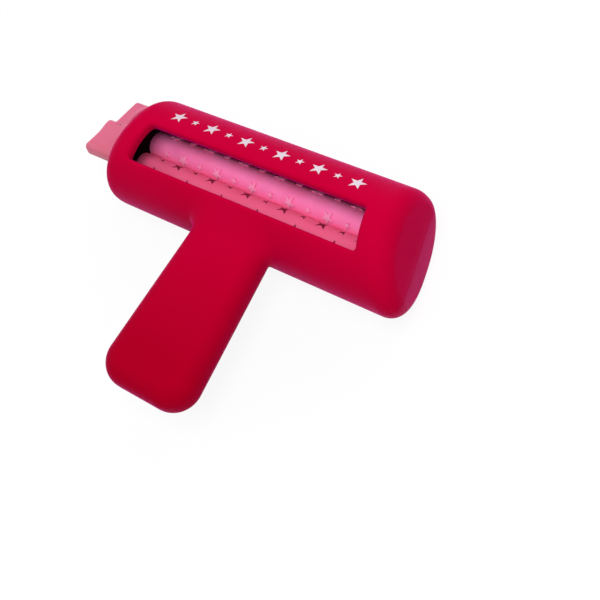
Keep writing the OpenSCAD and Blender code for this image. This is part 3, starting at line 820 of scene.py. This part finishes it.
def unitScrew(name, length):  # a cross-recess screw, its head hanging under z 0
    head, high, shank, point = [screw[k] for k in ("head", "headHigh", "shank", "point")]
    bm = bmesh.new()
    n = screw["sides"]
    profile = [(head - inward, -high + up) for inward, up in screw["headRound"]]
    profile += [(head, 0), (shank, 0), (shank, length - point), (shank - point, length)]
    turns = [2 * math.pi * i / n for i in range(n)]
    rings = []
    for r, z in profile:
        rings.append([bm.verts.new((r * math.cos(a) * mm, r * math.sin(a) * mm, z * mm)) for a in turns])
    for lower, upper in zip(rings, rings[1:]):
        for i in range(n):
            bm.faces.new((lower[i], lower[(i + 1) % n], upper[(i + 1) % n], upper[i]))
    bm.faces.new(rings[-1])
    # the cross recess, its floor drawn in
    w, l = screw["crossWide"], screw["crossLong"]
    arm = [(l, w), (w, w), (w, l)]
    cross = arm + [(-x, y) for x, y in arm[::-1]]
    cross += [(-x, -y) for x, y in cross]
    shareX, shareY = screw["crossFloor"]
    depth = screw["crossDeep"] - high
    mouth = [bm.verts.new((x * mm, y * mm, -high * mm)) for x, y in cross]
    floor = [bm.verts.new((x * shareX * mm, y * shareY * mm, depth * mm)) for x, y in cross]
    for i in range(len(cross)):
        j = (i + 1) % len(cross)
        bm.faces.new((mouth[i], mouth[j], floor[j], floor[i]))
    bm.faces.new(floor[::-1])
    rim = [e for e in bm.edges if e.is_boundary]
    bmesh.ops.triangle_fill(bm, use_beauty=True, use_dissolve=False, edges=rim, normal=(0, 0, -1))
    bmesh.ops.recalc_face_normals(bm, faces=bm.faces[:])
    for f in bm.faces:
        f.smooth = True
    mesh = bpy.data.meshes.new(name)
    bm.to_mesh(mesh)
    bm.free()
    return mesh


screwCorners = screwTree()
screwSets = {
    "headScrews": {"node": "head_screws", "length": 22.0, "place": "head"},
    "handleScrews": {"node": "handle_screws", "length": 10.0, "place": "handle"},
}
for name, given in screwSets.items():
    lowY, highY = screws[given["place"] + "Y"]
    values = {
        "reachX": screws[given["place"] + "X"] * mm, "finish": steel,
        "lowY": (axisPlace["y"] + lowY) * mm, "highY": (axisPlace["y"] + highY) * mm,
        "seatZ": (axisPlace["z"] + screws[given["place"] + "Seat"]) * mm,
    }
    piece = growPiece(name, unitScrew(name + "One", given["length"]), screwCorners, values)
    piece.data.set_sharp_from_angle(angle=math.radians(screw["sharp"]))
    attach(piece, "casing")
    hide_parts(given["node"])
print("screws placed")

# CAD pieces that stay as they are

kept = {
    "bearing_plate": blackPlate, "key_washer": keyPink, "drive_shaft": steel, "counter_shaft": steel,
    "key_grub_screw": dullSteel, "drive_gear": nylon, "counter_gear": nylon, "counter_sleeve": counterPink,
}
for name, node in nodes.items():
    finish = kept.get(name)
    if finish is None and name.endswith("_bush"):
        finish = nylon
    if finish is None and name.endswith("_hub"):
        finish = driveHub if name.startswith("drive") else counterHub
    if finish is not None:
        node.data.materials.clear()
        node.data.materials.append(finish)
print("kept nodes finished")

# stage, light and camera, in metres

studio = {
    "floor": 3.0, "floorColour": 0.92, "floorBounce": 0.55, "sky": 0.28, "whiteShare": 0.9,
    "aim": (0.0, 0.0, 0.02),
}


def whiteRays(tree):  # camera, glossy and transmitted rays see the plain white
    path = tree.nodes.new("ShaderNodeLightPath")
    seen = mathOf(tree, "MAXIMUM", path.outputs["Is Camera Ray"], path.outputs["Is Glossy Ray"])
    return mathOf(tree, "MAXIMUM", seen, path.outputs["Is Transmission Ray"])


def makeFloor():
    half = studio["floor"]
    mesh = bpy.data.meshes.new("studioFloor")
    corners = [(-half, -half, 0), (half, -half, 0), (half, half, 0), (-half, half, 0)]
    mesh.from_pydata(corners, [], [(0, 1, 2, 3)])
    floor = bpy.data.objects.new("studioFloor", mesh)
    scene.collection.objects.link(floor)
    made = bpy.data.materials.new("paleFloor")
    made.use_nodes = True
    tree = made.node_tree
    tree.nodes.clear()
    matte = tree.nodes.new("ShaderNodeBsdfDiffuse")
    seen, bounce = [(studio[k],) * 3 for k in ("floorColour", "floorBounce")]
    tree.links.new(mixColour(tree, whiteRays(tree), bounce, seen), matte.inputs["Color"])
    glow = tree.nodes.new("ShaderNodeEmission")
    mix = tree.nodes.new("ShaderNodeMixShader")
    out = tree.nodes.new("ShaderNodeOutputMaterial")
    tree.links.new(mathOf(tree, "MULTIPLY", whiteRays(tree), studio["whiteShare"]), mix.inputs[0])
    tree.links.new(matte.outputs[0], mix.inputs[1])
    tree.links.new(glow.outputs[0], mix.inputs[2])
    tree.links.new(mix.outputs[0], out.inputs["Surface"])
    mesh.materials.append(made)


def makeSky():
    world = bpy.data.worlds.new("studioSky")
    scene.world = world
    world.use_nodes = True
    tree = world.node_tree
    tree.nodes.clear()
    light = tree.nodes.new("ShaderNodeBackground")
    light.inputs["Strength"].default_value = studio["sky"]
    white = tree.nodes.new("ShaderNodeBackground")
    mix = tree.nodes.new("ShaderNodeMixShader")
    out = tree.nodes.new("ShaderNodeOutputWorld")
    for shade in (light, white):
        shade.inputs["Color"].default_value = (1, 1, 1, 1)
    tree.links.new(whiteRays(tree), mix.inputs[0])
    tree.links.new(light.outputs[0], mix.inputs[1])
    tree.links.new(white.outputs[0], mix.inputs[2])
    tree.links.new(mix.outputs[0], out.inputs["Surface"])


lamps = {
    "keyLamp": {"place": (0.20, -0.10, 0.70), "size": 0.36, "power": 3.4, "colour": (1.0, 0.97, 0.96)},
    "farLamp": {"place": (0.0, 0.52, 0.28), "size": 0.5, "power": 2.3, "colour": (0.86, 0.74, 1.0)},
    "sideLamp": {"place": (0.52, -0.36, 0.28), "size": 0.5, "power": 1.4, "colour": (0.88, 0.80, 1.0)},
    "leftLamp": {"place": (-0.46, -0.16, 0.36), "size": 0.5, "power": 1.0, "colour": (1.0, 0.95, 0.97)},
}


def makeLamps():
    for name, lamp in lamps.items():
        data = bpy.data.lights.new(name, "AREA")
        data.size = lamp["size"]
        data.energy = lamp["power"]
        data.color = lamp["colour"]
        thing = bpy.data.objects.new(name, data)
        thing.location = lamp["place"]
        back = np.array(lamp["place"]) - np.array(studio["aim"])
        tilt = math.acos(back[2] / np.linalg.norm(back))
        thing.rotation_euler = (tilt, 0, math.atan2(back[1], back[0]) + math.pi / 2)
        scene.collection.objects.link(thing)


camera = {
    "place": (0.26506, -0.10463, 0.40099), "turn": (24.870, 21.138, 32.361), "lens": 63.108, "sensor": 36,
    "nearest": 0.01,
}


def makeCamera():
    data = bpy.data.cameras.new("photoCamera")
    data.sensor_width = camera["sensor"]
    data.lens = camera["lens"]
    data.clip_start = camera["nearest"]
    thing = bpy.data.objects.new("photoCamera", data)
    thing.location = camera["place"]
    thing.rotation_euler = Euler([math.radians(a) for a in camera["turn"]])
    scene.collection.objects.link(thing)
    scene.camera = thing


makeFloor()
makeSky()
makeLamps()
makeCamera()
scene.view_settings.view_transform = "Standard"
print("stage, lamps and camera made")
